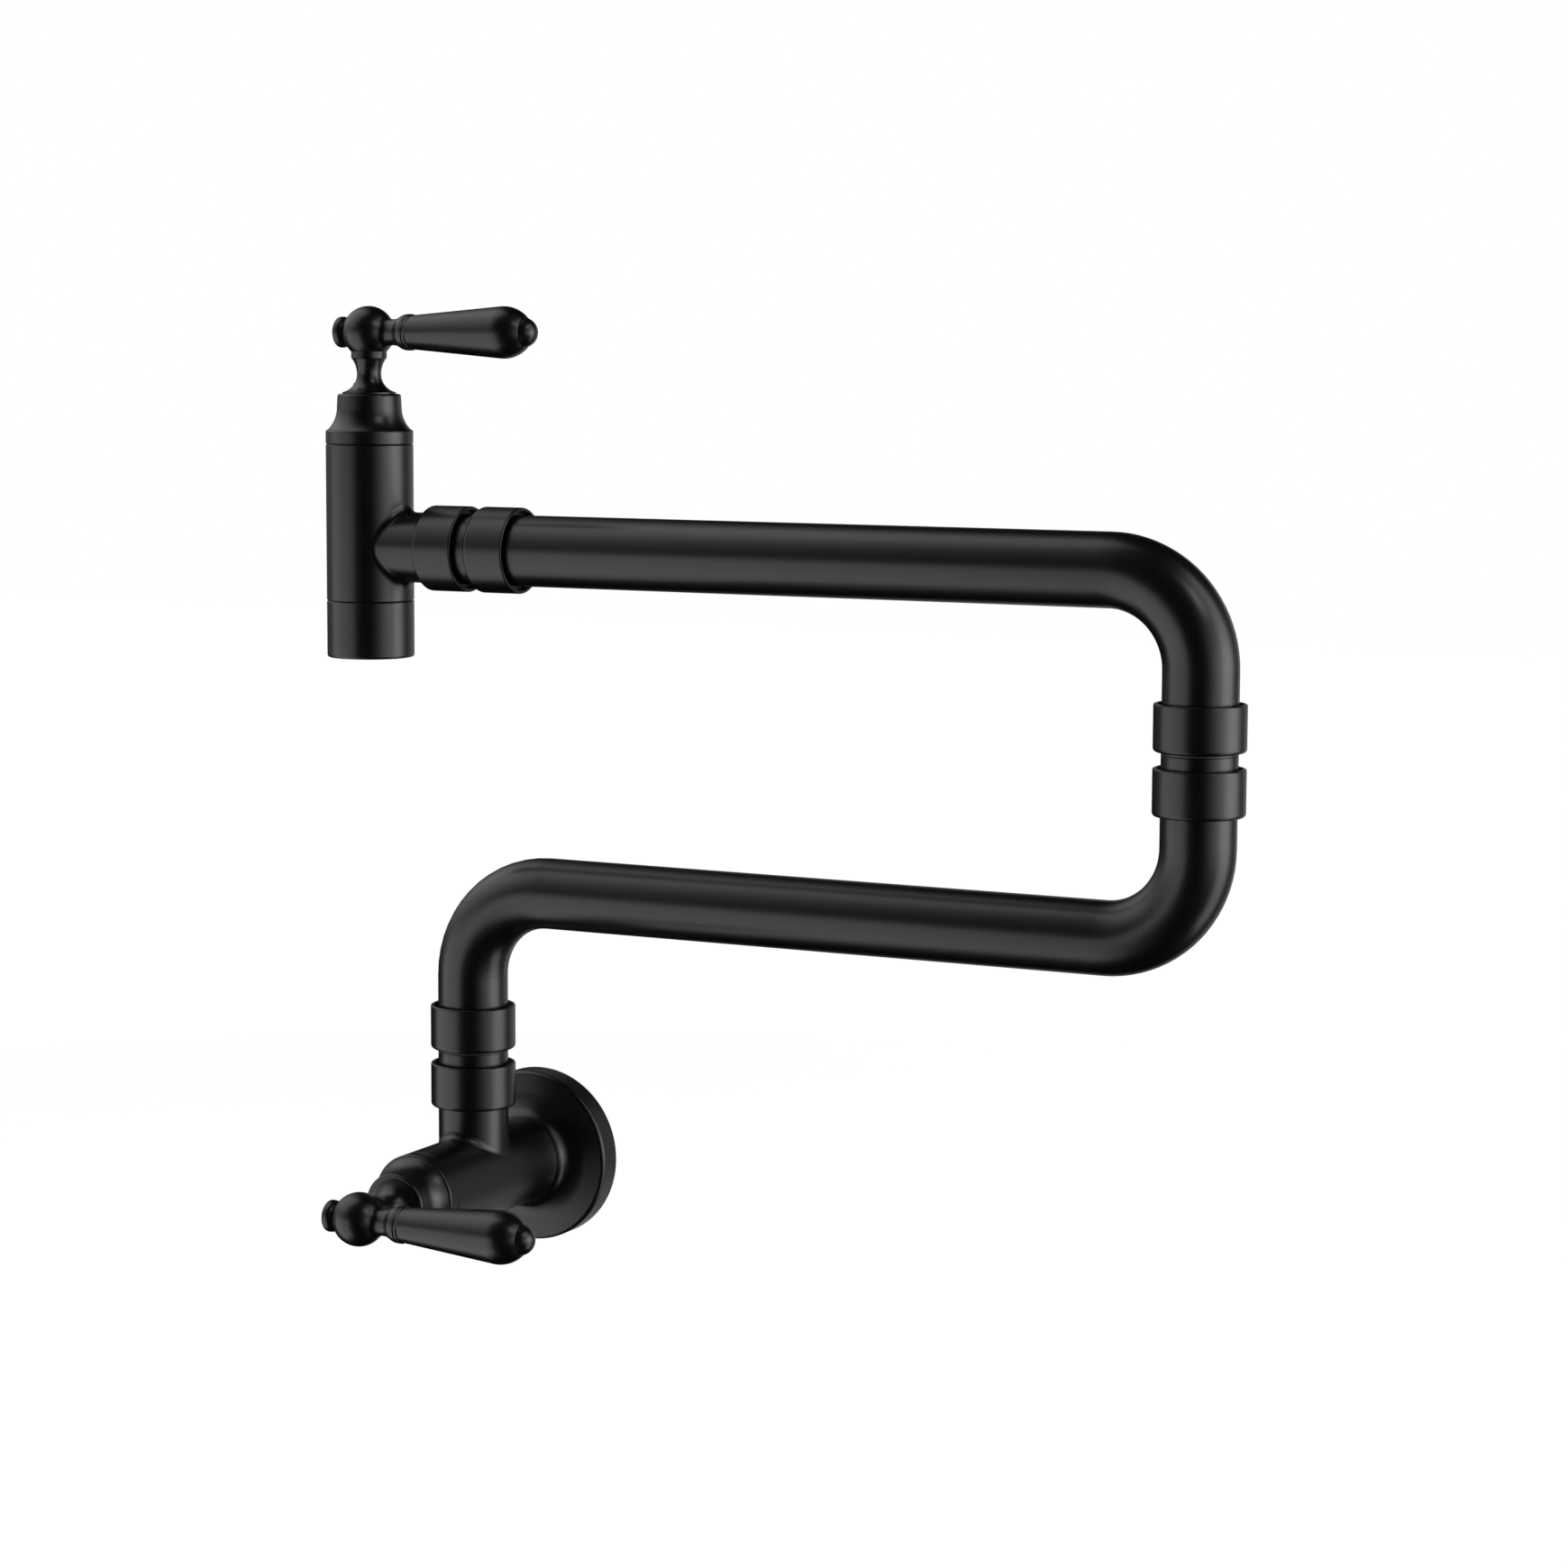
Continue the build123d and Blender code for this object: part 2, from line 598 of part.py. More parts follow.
def screw_axis():
    """Axis of the handle's set screw, out through the back of the hub."""
    return Plane((0, 0, SET_SCREW_AT), x_dir=(0, 1, 0), z_dir=(-1, 0, 0))


def hub_radius(height):
    """Radius of the hub's trumpet foot at a height below its waist."""
    spread = HUB_BASE_D / 2 - HUB_WAIST_D / 2
    drop = HUB_WAIST_AT - HUB_BASE - HUB_BASE_T
    curve_r = (spread**2 + drop**2) / (2 * spread)
    return HUB_WAIST_D / 2 + curve_r - math.sqrt(curve_r**2 - (HUB_WAIST_AT - height) ** 2)


def handle_grip():
    """Tapered lever: from a bead at the stub it swells to the belly and rounds in to the tip."""
    bead_r = STUB_RING_D / 2
    start_r = GRIP_START_D / 2
    belly_r = GRIP_BELLY_D / 2
    spigot_r = GRIP_SPIGOT_D / 2
    bead_start = (bead_r, STUB_RING_END + SEAM)
    start = (start_r, GRIP_BEAD_END + SEAM)
    belly = (belly_r, GRIP_BELLY_AT)
    end = (GRIP_END_D / 2, GRIP_END)
    spigot_end = STUB_RING_END - GRIP_SPIGOT_LEN
    taper = (belly_r - start_r, GRIP_BELLY_AT - GRIP_BEAD_END - SEAM)
    grip = lathe_curves(
        Line((0, spigot_end), (spigot_r, spigot_end)),
        Line((spigot_r, spigot_end), (spigot_r, STUB_RING_END)),
        Line((spigot_r, STUB_RING_END), (bead_r - SEAM, STUB_RING_END)),
        Line((bead_r - SEAM, STUB_RING_END), bead_start),
        Line(bead_start, (bead_r, GRIP_BEAD_END)),
        Line((bead_r, GRIP_BEAD_END), start),
        Line(start, belly),
        TangentArc(belly, end, tangent=taper),
        Line(end, (0, GRIP_END)),
        Line((0, GRIP_END), (0, spigot_end)),
    )
    return grip - disc(TIP_SHANK_D / 2 + FIT, GRIP_END - TIP_SHANK_LEN - LOOSE, GRIP_END)


def handle_tip():
    """Round-headed screw that closes the end of the grip."""
    head_low = GRIP_END + TIP_GROOVE
    shank_r = TIP_SHANK_D / 2
    return lathe_curves(
        Line((0, GRIP_END - TIP_SHANK_LEN), (shank_r, GRIP_END - TIP_SHANK_LEN)),
        Line((shank_r, GRIP_END - TIP_SHANK_LEN), (shank_r, GRIP_END)),
        Line((shank_r, GRIP_END), (TIP_GROOVE_D / 2, GRIP_END)),
        Line((TIP_GROOVE_D / 2, GRIP_END), (TIP_GROOVE_D / 2, head_low)),
        Line((TIP_GROOVE_D / 2, head_low), (TIP_D / 2, head_low)),
        TangentArc((0, head_low + TIP_H), (TIP_D / 2, head_low), tangent=(1, 0)),
        Line((0, head_low + TIP_H), (0, GRIP_END - TIP_SHANK_LEN)),
    )


def handle_finial():
    """Small round-backed button opposite the lever."""
    shank_r = FINIAL_SHANK_D / 2
    seat_r = math.sqrt((BALL_D / 2) ** 2 - FINIAL_SEAT**2) - FIT
    bead = (FINIAL_BEAD_D / 2, FINIAL_BEAD_AT)
    bead_end = (FINIAL_BEAD_D / 2, FINIAL_BEAD_AT + FINIAL_BEAD_T)
    face = (FINIAL_FACE_D / 2, FINIAL_FACE_AT)
    shank_end = FINIAL_SEAT - FINIAL_SHANK_LEN
    return lathe_curves(
        Line((0, shank_end), (shank_r, shank_end)),
        Line((shank_r, shank_end), (shank_r, FINIAL_SEAT)),
        Line((shank_r, FINIAL_SEAT), (seat_r, FINIAL_SEAT)),
        TangentArc(bead, (seat_r, FINIAL_SEAT), tangent=(0, -1)),
        Line(bead, bead_end),
        TangentArc(bead_end, face, tangent=(0, 1)),
        TangentArc((0, FINIAL_END), face, tangent=(1, 0)),
        Line((0, FINIAL_END), (0, shank_end)),
    )


def valve_inside(name, frame):
    """The pieces that both valves share, from the seat seal up to the bonnet."""
    foot, _, _ = disc_levels()
    place(frame, {
        name + "_seat_seal": ring(DISC_D / 2, SEAT_WATERWAY_D / 2, -SEAT_DEPTH, foot),
        name + "_fixed_disc": fixed_disc(),
        name + "_moving_disc": moving_disc(),
        name + "_cartridge_body": cartridge_housing(),
        name + "_cartridge_o_rings": cartridge_o_rings(),
        name + "_cartridge_nut": cartridge_nut(),
        name + "_stem": stem(),
        name + "_bonnet": bonnet(),
    })


def handle(name, frame):
    """Hub, lever, tip, finial and set screw of one valve."""
    screw_outer = hub_radius(SET_SCREW_AT) - SET_SCREW_SINK
    place(frame, {
        name + "_handle_hub": handle_hub(),
        name + "_handle_grip": LEVER.location * handle_grip(),
        name + "_handle_tip": LEVER.location * handle_tip(),
        name + "_handle_finial": BACK_OF_BALL.location * handle_finial(),
        name + "_handle_set_screw": screw_axis().location * set_screw(STEM_END_D / 2, screw_outer),
    })


def slope_end(start, width, tilt, next_tilt):
    """End of an arc that runs in towards the axis over a width and changes its tilt, in degrees."""
    first, last = math.radians(tilt), math.radians(next_tilt)
    bend_r = width / (math.sin(last) - math.sin(first))
    return (start[0] - width, start[1] + bend_r * (math.cos(first) - math.cos(last)))


def uphill(tilt):
    """Direction in towards the axis and up a slope of so many degrees."""
    return (-math.cos(math.radians(tilt)), math.sin(math.radians(tilt)))


def flange():
    """Bell escutcheon, drawn with the wall at height 0 and its front up."""
    outer_r = FLANGE_D / 2
    bore_r = BODY_R + FIT
    sleeve_r = bore_r + FLANGE_SLEEVE
    shelf_r = outer_r - FLANGE_WALL - FLANGE_SHELF
    across, rise = uphill(FLANGE_DISH_TILT)
    front = (outer_r - FLANGE_CORNER * (1 - rise), FLANGE_RIM - FLANGE_CORNER * across)
    flare_r = bore_r + FLANGE_CROWN_W + FLANGE_COVE_W + FLANGE_FLARE_W
    dish_top = (flare_r, front[1] - (front[0] - flare_r) * rise / across)
    flare_top = slope_end(dish_top, FLANGE_FLARE_W, FLANGE_DISH_TILT, FLANGE_FLARE_TILT)
    lip = slope_end(flare_top, FLANGE_COVE_W, FLANGE_FLARE_TILT, FLANGE_COVE_TILT)
    crown = slope_end(lip, FLANGE_CROWN_W, FLANGE_COVE_TILT, FLANGE_CROWN_TILT)
    outside = lathe_curves(
        Line((bore_r, 0), (outer_r, 0)),
        Line((outer_r, 0), (outer_r, FLANGE_RIM)),
        TangentArc((outer_r, FLANGE_RIM), front, tangent=(0, 1)),
        Line(front, dish_top),
        TangentArc(dish_top, flare_top, tangent=uphill(FLANGE_DISH_TILT)),
        TangentArc(flare_top, lip, tangent=uphill(FLANGE_FLARE_TILT)),
        TangentArc(lip, crown, tangent=uphill(FLANGE_COVE_TILT)),
        Line(crown, (bore_r, 0)),
    )
    shelf_top = front[1] - (front[0] - shelf_r) * rise / across - FLANGE_SHELL
    hollow = lathe(
        (sleeve_r, 0), (shelf_r, 0), (shelf_r, shelf_top), (sleeve_r, flare_top[1] - FLANGE_SHELL)
    )
    gasket_seat = ring(outer_r - FLANGE_WALL, shelf_r - FIT, 0, GASKET_T)
    seal_groove = o_ring_groove(BODY_R + O_RING_SECTION, BODY_R, FLANGE_SEAL_AT)
    return outside - hollow - gasket_seat - seal_groove


def flange_gasket():
    """Flat rubber ring in the rim's recess, flush with the wall."""
    seat_r = FLANGE_D / 2 - FLANGE_WALL
    return ring(seat_r - FIT, seat_r - FLANGE_SHELF, 0, GASKET_T)


def outlet_ring():
    """Lower sleeve of the spout: threaded above, with a lip below that holds the aerator."""
    bottom = -OUTLET_END
    step = aerator_top() + FIT
    body = lathe(
        (AERATOR_SEAT_D / 2, bottom, SEAM),
        (BODY_R, bottom, OUTLET_ROUND),
        (BODY_R, -OUTLET_SEAM - SEAM),
        (BODY_R - SEAM, -OUTLET_SEAM),
        (AERATOR_SEAT_D / 2, -OUTLET_SEAM),
    )
    body -= disc(SPIGOT_D / 2 + FIT, step, -OUTLET_SEAM)
    return body - disc(AERATOR_D / 2 + FIT, bottom + AERATOR_LIP, step)


def aerator_top():
    """Height of the aerator's upper face."""
    return -OUTLET_END + AERATOR_LIP + AERATOR_H


def aerator():
    """Aerator insert: a cup whose bottom plate is drilled in rings."""
    low = -OUTLET_END + AERATOR_LIP
    outer = AERATOR_D / 2
    cup = disc(outer, low, aerator_top()) - disc(outer - AERATOR_WALL, low + AERATOR_PLATE, aerator_top())
    drill = disc(AERATOR_HOLE_D / 2, low, low + AERATOR_PLATE)
    for ring_number in range(AERATOR_RINGS + 1):
        count = max(1, 6 * ring_number)
        cup -= PolarLocations(ring_number * AERATOR_PITCH, count) * drill
    return cup


def aerator_washer():
    """Rubber washer between the aerator and the end of the spigot."""
    low = aerator_top() + FIT
    return ring(SPIGOT_D / 2, AERATOR_D / 2 - AERATOR_WALL * 2, low, low + AERATOR_WASHER_T)


def bent_tube(route, start_direction):
    """Hollow tube along a route of straight runs and tangent bends in a plane parallel to the wall."""
    path = Plane.XZ * FilletPolyline(*route, radius=BEND_R)
    section = Plane(path @ 0, z_dir=start_direction) * (Circle(TUBE_R) - Circle(TUBE_BORE_R))
    return Pos(0, -WALL_TO_SWIVEL, 0) * sweep(section, path=path)


def lower_arm_tube():
    """Up from the wall swivel, along the wall, and up to the elbow."""
    foot = NECK_LEN + TUBE_SEAT
    head = ELBOW_START + NECK_TAIL
    route = [(0, foot), (0, LOWER_ARM_Z), (LOWER_ARM, LOWER_ARM_Z), (LOWER_ARM, head)]
    return bent_tube(route, (0, 0, 1))


def upper_arm_tube():
    """Up from the elbow and back along the wall to the spout's union."""
    foot = ELBOW_START + TUBE_SEAT
    route = [(LOWER_ARM, foot), (LOWER_ARM, UPPER_ARM_Z), (SPOUT_X + NECK_LEN + TUBE_SEAT, UPPER_ARM_Z)]
    return bent_tube(route, (0, 0, 1))


WALL = Plane((0, 0, 0), x_dir=(1, 0, 0), z_dir=(0, -1, 0))

place(WALL, {
    "wall_flange": flange(),
    "wall_flange_gasket": flange_gasket(),
    "wall_flange_o_ring": round_section_ring(BODY_R, BODY_R + O_RING_SECTION, FLANGE_SEAL_AT),
})
place(WALL_VALVE, {"wall_valve_body": wall_valve_body()})
valve_inside("wall", WALL_VALVE)
handle("wall", WALL_VALVE)
turning_joint("wall_swivel", WALL_SWIVEL)
place(Plane.XY, {"lower_arm_tube": lower_arm_tube()})
turning_joint("elbow_swivel", ELBOW_SWIVEL)
place(Plane.XY, {"upper_arm_tube": upper_arm_tube()})
fixed_union("spout_union", SPOUT_UNION)
place(SPOUT_VALVE, {
    "spout_valve_body": spout_valve_body(),
    "outlet_ring": outlet_ring(),
    "aerator": aerator(),
    "aerator_washer": aerator_washer(),
})
valve_inside("spout", SPOUT_VALVE)
handle("spout", SPOUT_VALVE)

os.makedirs("parts", exist_ok=True)
for node, shape in pieces.items():
    export_step(shape, f"parts/{node}.step")
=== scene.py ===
import json
import math

import bmesh
import bpy
from mathutils import Matrix, Vector

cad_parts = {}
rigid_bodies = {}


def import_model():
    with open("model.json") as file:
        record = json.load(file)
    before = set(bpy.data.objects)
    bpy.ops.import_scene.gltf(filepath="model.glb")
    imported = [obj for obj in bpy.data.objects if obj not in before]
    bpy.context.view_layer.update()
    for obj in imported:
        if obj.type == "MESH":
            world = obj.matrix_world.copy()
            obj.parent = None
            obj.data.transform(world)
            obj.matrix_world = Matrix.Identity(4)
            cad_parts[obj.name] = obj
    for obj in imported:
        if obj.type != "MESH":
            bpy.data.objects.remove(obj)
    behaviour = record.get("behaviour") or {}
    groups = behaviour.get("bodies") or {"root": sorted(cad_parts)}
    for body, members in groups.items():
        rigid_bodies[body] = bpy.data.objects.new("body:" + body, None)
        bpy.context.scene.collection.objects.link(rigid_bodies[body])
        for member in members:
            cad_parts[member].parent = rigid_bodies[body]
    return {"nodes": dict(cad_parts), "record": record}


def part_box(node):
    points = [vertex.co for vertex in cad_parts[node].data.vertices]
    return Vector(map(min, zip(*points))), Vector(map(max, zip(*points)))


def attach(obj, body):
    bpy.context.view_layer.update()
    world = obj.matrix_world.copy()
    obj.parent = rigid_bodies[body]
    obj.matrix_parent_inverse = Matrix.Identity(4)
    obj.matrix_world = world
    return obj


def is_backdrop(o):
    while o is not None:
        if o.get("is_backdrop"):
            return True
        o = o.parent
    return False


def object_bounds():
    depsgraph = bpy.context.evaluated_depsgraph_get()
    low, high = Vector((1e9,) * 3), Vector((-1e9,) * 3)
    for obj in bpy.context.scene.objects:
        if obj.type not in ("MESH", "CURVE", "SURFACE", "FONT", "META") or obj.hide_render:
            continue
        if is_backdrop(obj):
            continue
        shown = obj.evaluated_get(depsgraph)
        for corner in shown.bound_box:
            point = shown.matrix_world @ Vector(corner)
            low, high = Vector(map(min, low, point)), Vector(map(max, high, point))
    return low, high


bl_info = {
    "name": "Pot Filler Finish",
    "version": (1, 0, 0),
    "blender": (4, 5, 0),
    "location": "View3D > Sidebar > Pot Filler",
    "description": "Dresses a folded wall-mounted pot filler and sets up its studio view",
    "category": "Object",
}

for leftover in list(bpy.data.objects):
    bpy.data.objects.remove(leftover)
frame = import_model()

MM = 0.001
CENTRE = sum((Vector(corner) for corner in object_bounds()), Vector()) / 2

# Place of each valve stem's axis, and the turn that makes it Z
WALL_STEM = ((0, 0, 0), (math.radians(90), 0, 0))
SPOUT_STEM = ((-40.4 * MM, -47.2 * MM, 0), (0, 0, 0))

# Depth of the marks in the coat and in turned brass, and the lathe's travel in one turn
COAT_MARKS = 0.002 * MM
LATHE_MARKS = 0.012 * MM
LATHE_TRAVEL = 0.4 * MM

# Bare brass of the inlet: radius in the bore, and depth at the end face
BARE_BORE = 10.5 * MM
BARE_END_FACE = 0.1 * MM

# Bare hollow of the escutcheon: radius, height of its roof at the middle, and the roof's slope outwards
BARE_HOLLOW = 25.6 * MM
HOLLOW_ROOF = 16.1 * MM
HOLLOW_SLOPE = -0.3

# Depth under the bonnet's top from which each stem takes the black coat's colour, as painted shade that
# darkens the gap between handle and bonnet
PAINTED_SHADE_STEM_DEPTH = 1.0 * MM

# Thread's ridge: depth let into the wall, steps in a turn, and shares of the pitch at its foot and top
RIDGE_BITE = 0.02 * MM
RIDGE_STEPS = 48
RIDGE_FOOT = (0.04, 0.96)
RIDGE_TOP = (0.56, 0.44)

# Camera at the photograph's viewing angle, with its turns in radians
CAMERA_PLACE = Vector((663.04, -1152.02, 288.34)) * MM
CAMERA_YAW = 0.4793
CAMERA_PITCH = 0.11155
CAMERA_ROLL = 0.00245
CAMERA_SHIFT = (0.0517, -0.0141)
SENSOR_WIDTH = 36

# Floor, tent and lamp in metres, and the floor's own brightness to the camera
FLOOR_HALF_SIDE = 8.0
FLOOR_BRIGHTNESS = 0.42
TENT_RADIUS = 3.0
LAMP_WIDTH = 1.0
LAMP_FROM_CENTRE = Vector((-0.3, -0.5, 1.5))

# Tent's windows, in degrees and shares of white, with bearings clockwise from the wall seen from above
WINDOW_SOCKETS = ("Bearing", "Half width", "Rise", "Half height", "Soft edge", "Light")
WINDOWS = (
    (88.0, 29.0, 2.0, 7.5, 29.0, 4.4),
    (111.0, 10.0, 42.0, 10.0, 4.0, 3.6),
    (74.0, 18.0, 2.0, 54.0, 4.0, 1.8),
    (-129.5, 35.5, -29.0, 31.0, 8.0, 1.57),
    (-97.0, 41.0, 49.0, 37.0, 25.0, 1.5),
    (0.0, 28.0, -10.0, 28.0, 9.0, 0.46),
)


def colour_property(name, description, colour):
    """A colour that a user may change."""
    return bpy.props.FloatVectorProperty(
        name=name, description=description, default=colour, subtype="COLOR", size=3, min=0.0, max=1.0)


def factor_property(name, description, value):
    """A share between none and all."""
    return bpy.props.FloatProperty(
        name=name, description=description, default=value, min=0.0, max=1.0, subtype="FACTOR")


def length_property(name, description, value):
    """A length in metres."""
    return bpy.props.FloatProperty(
        name=name, description=description, default=value, min=0.0, unit="LENGTH", precision=5)


class PotFillerFinish(bpy.types.PropertyGroup):
    """Colours and surface of the metal, rubber and plastic."""

    coat_colour: colour_property("Coat colour", "Colour of the black coat", (0.0018, 0.0018, 0.0018))
    coat_roughness: factor_property("Coat roughness", "How matte the black coat is", 0.3)
    coat_gloss: factor_property("Coat gloss", "How strongly the black coat reflects", 0.5)
    coat_grain: length_property("Coat grain", "Width of the ripples in the sprayed coat", 0.8 * MM)
    brass_colour: colour_property("Brass colour", "Colour of bare turned brass", (0.62, 0.45, 0.2))
    ceramic_colour: colour_property("Ceramic colour", "Colour of the valve discs", (0.82, 0.81, 0.77))
    rubber_colour: colour_property(
        "Rubber colour", "Colour of the gaskets and rings", (0.012, 0.012, 0.013))
    plastic_colour: colour_property(
        "Plastic colour", "Colour of the washers and bushes", (0.02, 0.02, 0.021))
    aerator_colour: colour_property("Aerator colour", "Colour of the aerator", (0.16, 0.16, 0.155))
    steel_colour: colour_property(
        "Steel colour", "Colour of the blackened screws and clips", (0.09, 0.09, 0.095))


class PotFillerThread(bpy.types.PropertyGroup):
    """Thread of the water inlet."""

    bore: length_property("Bore", "Radius of the inlet's plain hole", 9.6 * MM)
    depth: length_property("Depth", "Height of the thread's ridge", 0.62 * MM)
    pitch: length_property("Pitch", "Distance from one ridge to the next", 1.814 * MM)
    start: length_property("Start", "Distance of the first ridge from the wall", 2.4 * MM)
    turns: bpy.props.IntProperty(name="Turns", description="Number of turns", default=7, min=1, max=20)


class PotFillerStage(bpy.types.PropertyGroup):
    """Floor, lamp and camera."""

    floor_drop: length_property("Floor drop", "How far the floor lies below the part", 0.45)
    floor_colour: colour_property("Floor colour", "Colour of the floor", (0.86, 0.86, 0.86))
    room_light: factor_property("Room light", "Strength of the light from all round", 0.65)
    lamp_power: bpy.props.FloatProperty(
        name="Lamp power", description="Power of the lamp overhead, in watts", default=9.0, min=0.0)
    lens: bpy.props.FloatProperty(
        name="Lens", description="Focal length of the camera", default=87.015, min=1.0, unit="CAMERA")


# Shader tools


def add_node(tree, kind, sockets=None, **settings):
    """A shader node with its settings, whose sockets each take a value or another node's output."""
    node = tree.nodes.new(kind)
    for name, value in settings.items():
        setattr(node, name, value)
    for name, value in (sockets or {}).items():
        if isinstance(value, bpy.types.NodeSocket):
            tree.links.new(value, node.inputs[name])
        else:
            node.inputs[name].default_value = value
    return node


def calculate(tree, operation, *values):
    """The result of a Math node."""
    return add_node(tree, "ShaderNodeMath", dict(enumerate(values)), operation=operation).outputs[0]


def blend_colours(tree, factor, first, second):
    """The result of a colour Mix node."""
    mix = add_node(tree, "ShaderNodeMix", {0: factor, 6: first, 7: second}, data_type="RGBA")
    return mix.outputs[2]


def rgba(colour, shade=1.0):
    """A colour in some shade of itself, no brighter than white, with full alpha."""
    return (*(min(channel * shade, 1.0) for channel in colour), 1.0)


def from_axis(tree, place):
    """Distance from the Z axis and height along it."""
    parts = add_node(tree, "ShaderNodeSeparateXYZ", {0: place}).outputs
    flat = add_node(tree, "ShaderNodeCombineXYZ", {0: parts[0], 1: parts[1]}).outputs[0]
    across = add_node(tree, "ShaderNodeVectorMath", {0: flat}, operation="LENGTH").outputs["Value"]
    return across, parts[2]


def new_group(name, inputs, outputs):
    """A node group with its sockets. Each input is (name, socket type, default)."""
    tree = bpy.data.node_groups.new(name, "ShaderNodeTree")
    for socket_name, socket_type, value in inputs:
        socket = tree.interface.new_socket(socket_name, in_out="INPUT", socket_type=socket_type)
        if value is not None:
            socket.default_value = value
    for socket_name, socket_type in outputs:
        tree.interface.new_socket(socket_name, in_out="OUTPUT", socket_type=socket_type)
    return tree, tree.nodes.new("NodeGroupInput").outputs, tree.nodes.new("NodeGroupOutput").inputs


def group_called(name):
    """The node group of this name, made the first time that it is asked for."""
    if name not in bpy.data.node_groups:
        GROUPS[name](name)
    return bpy.data.node_groups[name]


def use_group(tree, name, sockets):
    """The outputs of a node that uses one of the groups."""
    return add_node(tree, "ShaderNodeGroup", sockets, node_tree=group_called(name)).outputs


def make_fine_surface(name):
    """Sprayed or moulded skin: height, roughness and shade that wander a little over the surface."""
    tree, given, result = new_group(
        name,
        [("Vector", "NodeSocketVector", None), ("Grain", "NodeSocketFloat", 0.001),
         ("Roughness", "NodeSocketFloat", 0.4), ("Spread", "NodeSocketFloat", 0.03)],
        [("Height", "NodeSocketFloat"), ("Roughness", "NodeSocketFloat"), ("Shade", "NodeSocketFloat")])
    vector = given["Vector"]
    scale = calculate(tree, "DIVIDE", 1.0, given["Grain"])
    fine = add_node(tree, "ShaderNodeTexNoise", {"Vector": vector, "Scale": scale, "Detail": 2.0})
    patches = add_node(tree, "ShaderNodeTexNoise", {"Vector": vector, "Scale": 60.0, "Detail": 3.0})
    drift = calculate(tree, "SUBTRACT", patches.outputs[0], 0.5)
    wander = calculate(tree, "MULTIPLY_ADD", drift, given["Spread"], given["Roughness"])
    speck = calculate(tree, "SUBTRACT", fine.outputs[0], 0.5)
    tree.links.new(fine.outputs[0], result["Height"])
    tree.links.new(calculate(tree, "MULTIPLY_ADD", speck, given["Spread"], wander), result["Roughness"])
    tree.links.new(patches.outputs[0], result["Shade"])


def make_turning_marks(name):
    """Fine rings that a lathe leaves about the Z axis, on faces and on cylinders alike."""
    tree, given, result = new_group(
        name, [("Vector", "NodeSocketVector", None), ("Pitch", "NodeSocketFloat", 0.0003)],
        [("Height", "NodeSocketFloat"), ("Shade", "NodeSocketFloat")])
    travel = calculate(tree, "ADD", *from_axis(tree, given["Vector"]))
    turns = calculate(tree, "DIVIDE", travel, given["Pitch"])
    ridge = calculate(tree, "SINE", calculate(tree, "MULTIPLY", turns, 2 * math.pi))
    streak = add_node(
        tree, "ShaderNodeTexNoise", {"W": turns, "Scale": 0.35, "Detail": 3.0}, noise_dimensions="1D")
    tree.links.new(calculate(tree, "MULTIPLY_ADD", ridge, 0.2, streak.outputs[0]), result["Height"])
    tree.links.new(streak.outputs[0], result["Shade"])


def make_lit_window(name):
    """Light of one soft-edged window in the studio tent, by direction in degrees."""
    tree, given, result = new_group(
        name,
        [("Vector", "NodeSocketVector", None)] + [(s, "NodeSocketFloat", 0.0) for s in WINDOW_SOCKETS],
        [("Light", "NodeSocketFloat")])
    way = add_node(tree, "ShaderNodeVectorMath", {0: given["Vector"]}, operation="NORMALIZE").outputs[0]
    parts = add_node(tree, "ShaderNodeSeparateXYZ", {0: way}).outputs
    bearing = calculate(tree, "DEGREES", calculate(tree, "ARCTAN2", parts[0], parts[1]))
    rise = calculate(tree, "DEGREES", calculate(tree, "ARCSINE", parts[2]))
    light = given["Light"]
    for angle, middle, half in ((bearing, "Bearing", "Half width"), (rise, "Rise", "Half height")):
        away = calculate(tree, "ABSOLUTE", calculate(tree, "SUBTRACT", angle, given[middle]))
        edge = add_node(tree, "ShaderNodeMapRange", {
            "Value": away, "From Min": calculate(tree, "ADD", given[half], given["Soft edge"]),
            "From Max": calculate(tree, "SUBTRACT", given[half], given["Soft edge"]),
        }, interpolation_type="SMOOTHSTEP")
        light = calculate(tree, "MULTIPLY", light, edge.outputs[0])
    tree.links.new(light, result["Light"])


GROUPS = {
    "fine_surface": make_fine_surface,
    "turning_marks": make_turning_marks,
    "lit_window": make_lit_window,
}


def new_material(name, **sockets):
    """A material with its shader and output, and the plain values of the shader's sockets."""
    material = bpy.data.materials.new(name)
    material.use_nodes = True
    tree = material.node_tree
    tree.nodes.clear()
    shader = tree.nodes.new("ShaderNodeBsdfPrincipled")
    output = tree.nodes.new("ShaderNodeOutputMaterial")
    tree.links.new(shader.outputs["BSDF"], output.inputs["Surface"])
    for socket, value in sockets.items():
        shader.inputs[socket.replace("_", " ")].default_value = value
    return material, tree, shader


def object_place(tree, centre=(0, 0, 0), turn=(0, 0, 0)):
    """Object coordinates about a centre, turned so that an axis of the object is Z."""
    place = add_node(tree, "ShaderNodeTexCoord").outputs["Object"]
    return add_node(
        tree, "ShaderNodeMapping", {"Vector": place, "Location": centre, "Rotation": turn},
        vector_type="TEXTURE").outputs[0]


def add_bump(tree, shader, height, depth):
    """Links a height to the shader's normal. Depth is the size of the marks in metres."""
    bump = add_node(tree, "ShaderNodeBump", {"Height": height, "Distance": depth, "Strength": 1.0})
    tree.links.new(bump.outputs[0], shader.inputs["Normal"])


def dress(node, material):
    """Gives a CAD node one material in each of its slots."""
    mesh = frame["nodes"][node].data
    if not mesh.materials:
        mesh.materials.append(material)
    for i in range(len(mesh.materials)):
        mesh.materials[i] = material


def nodes_in(slot):
    """Names of the CAD nodes that the record gives one material slot."""
    return [s["node"] for s in frame["record"]["subparts"] if s["material_slot"] == slot]


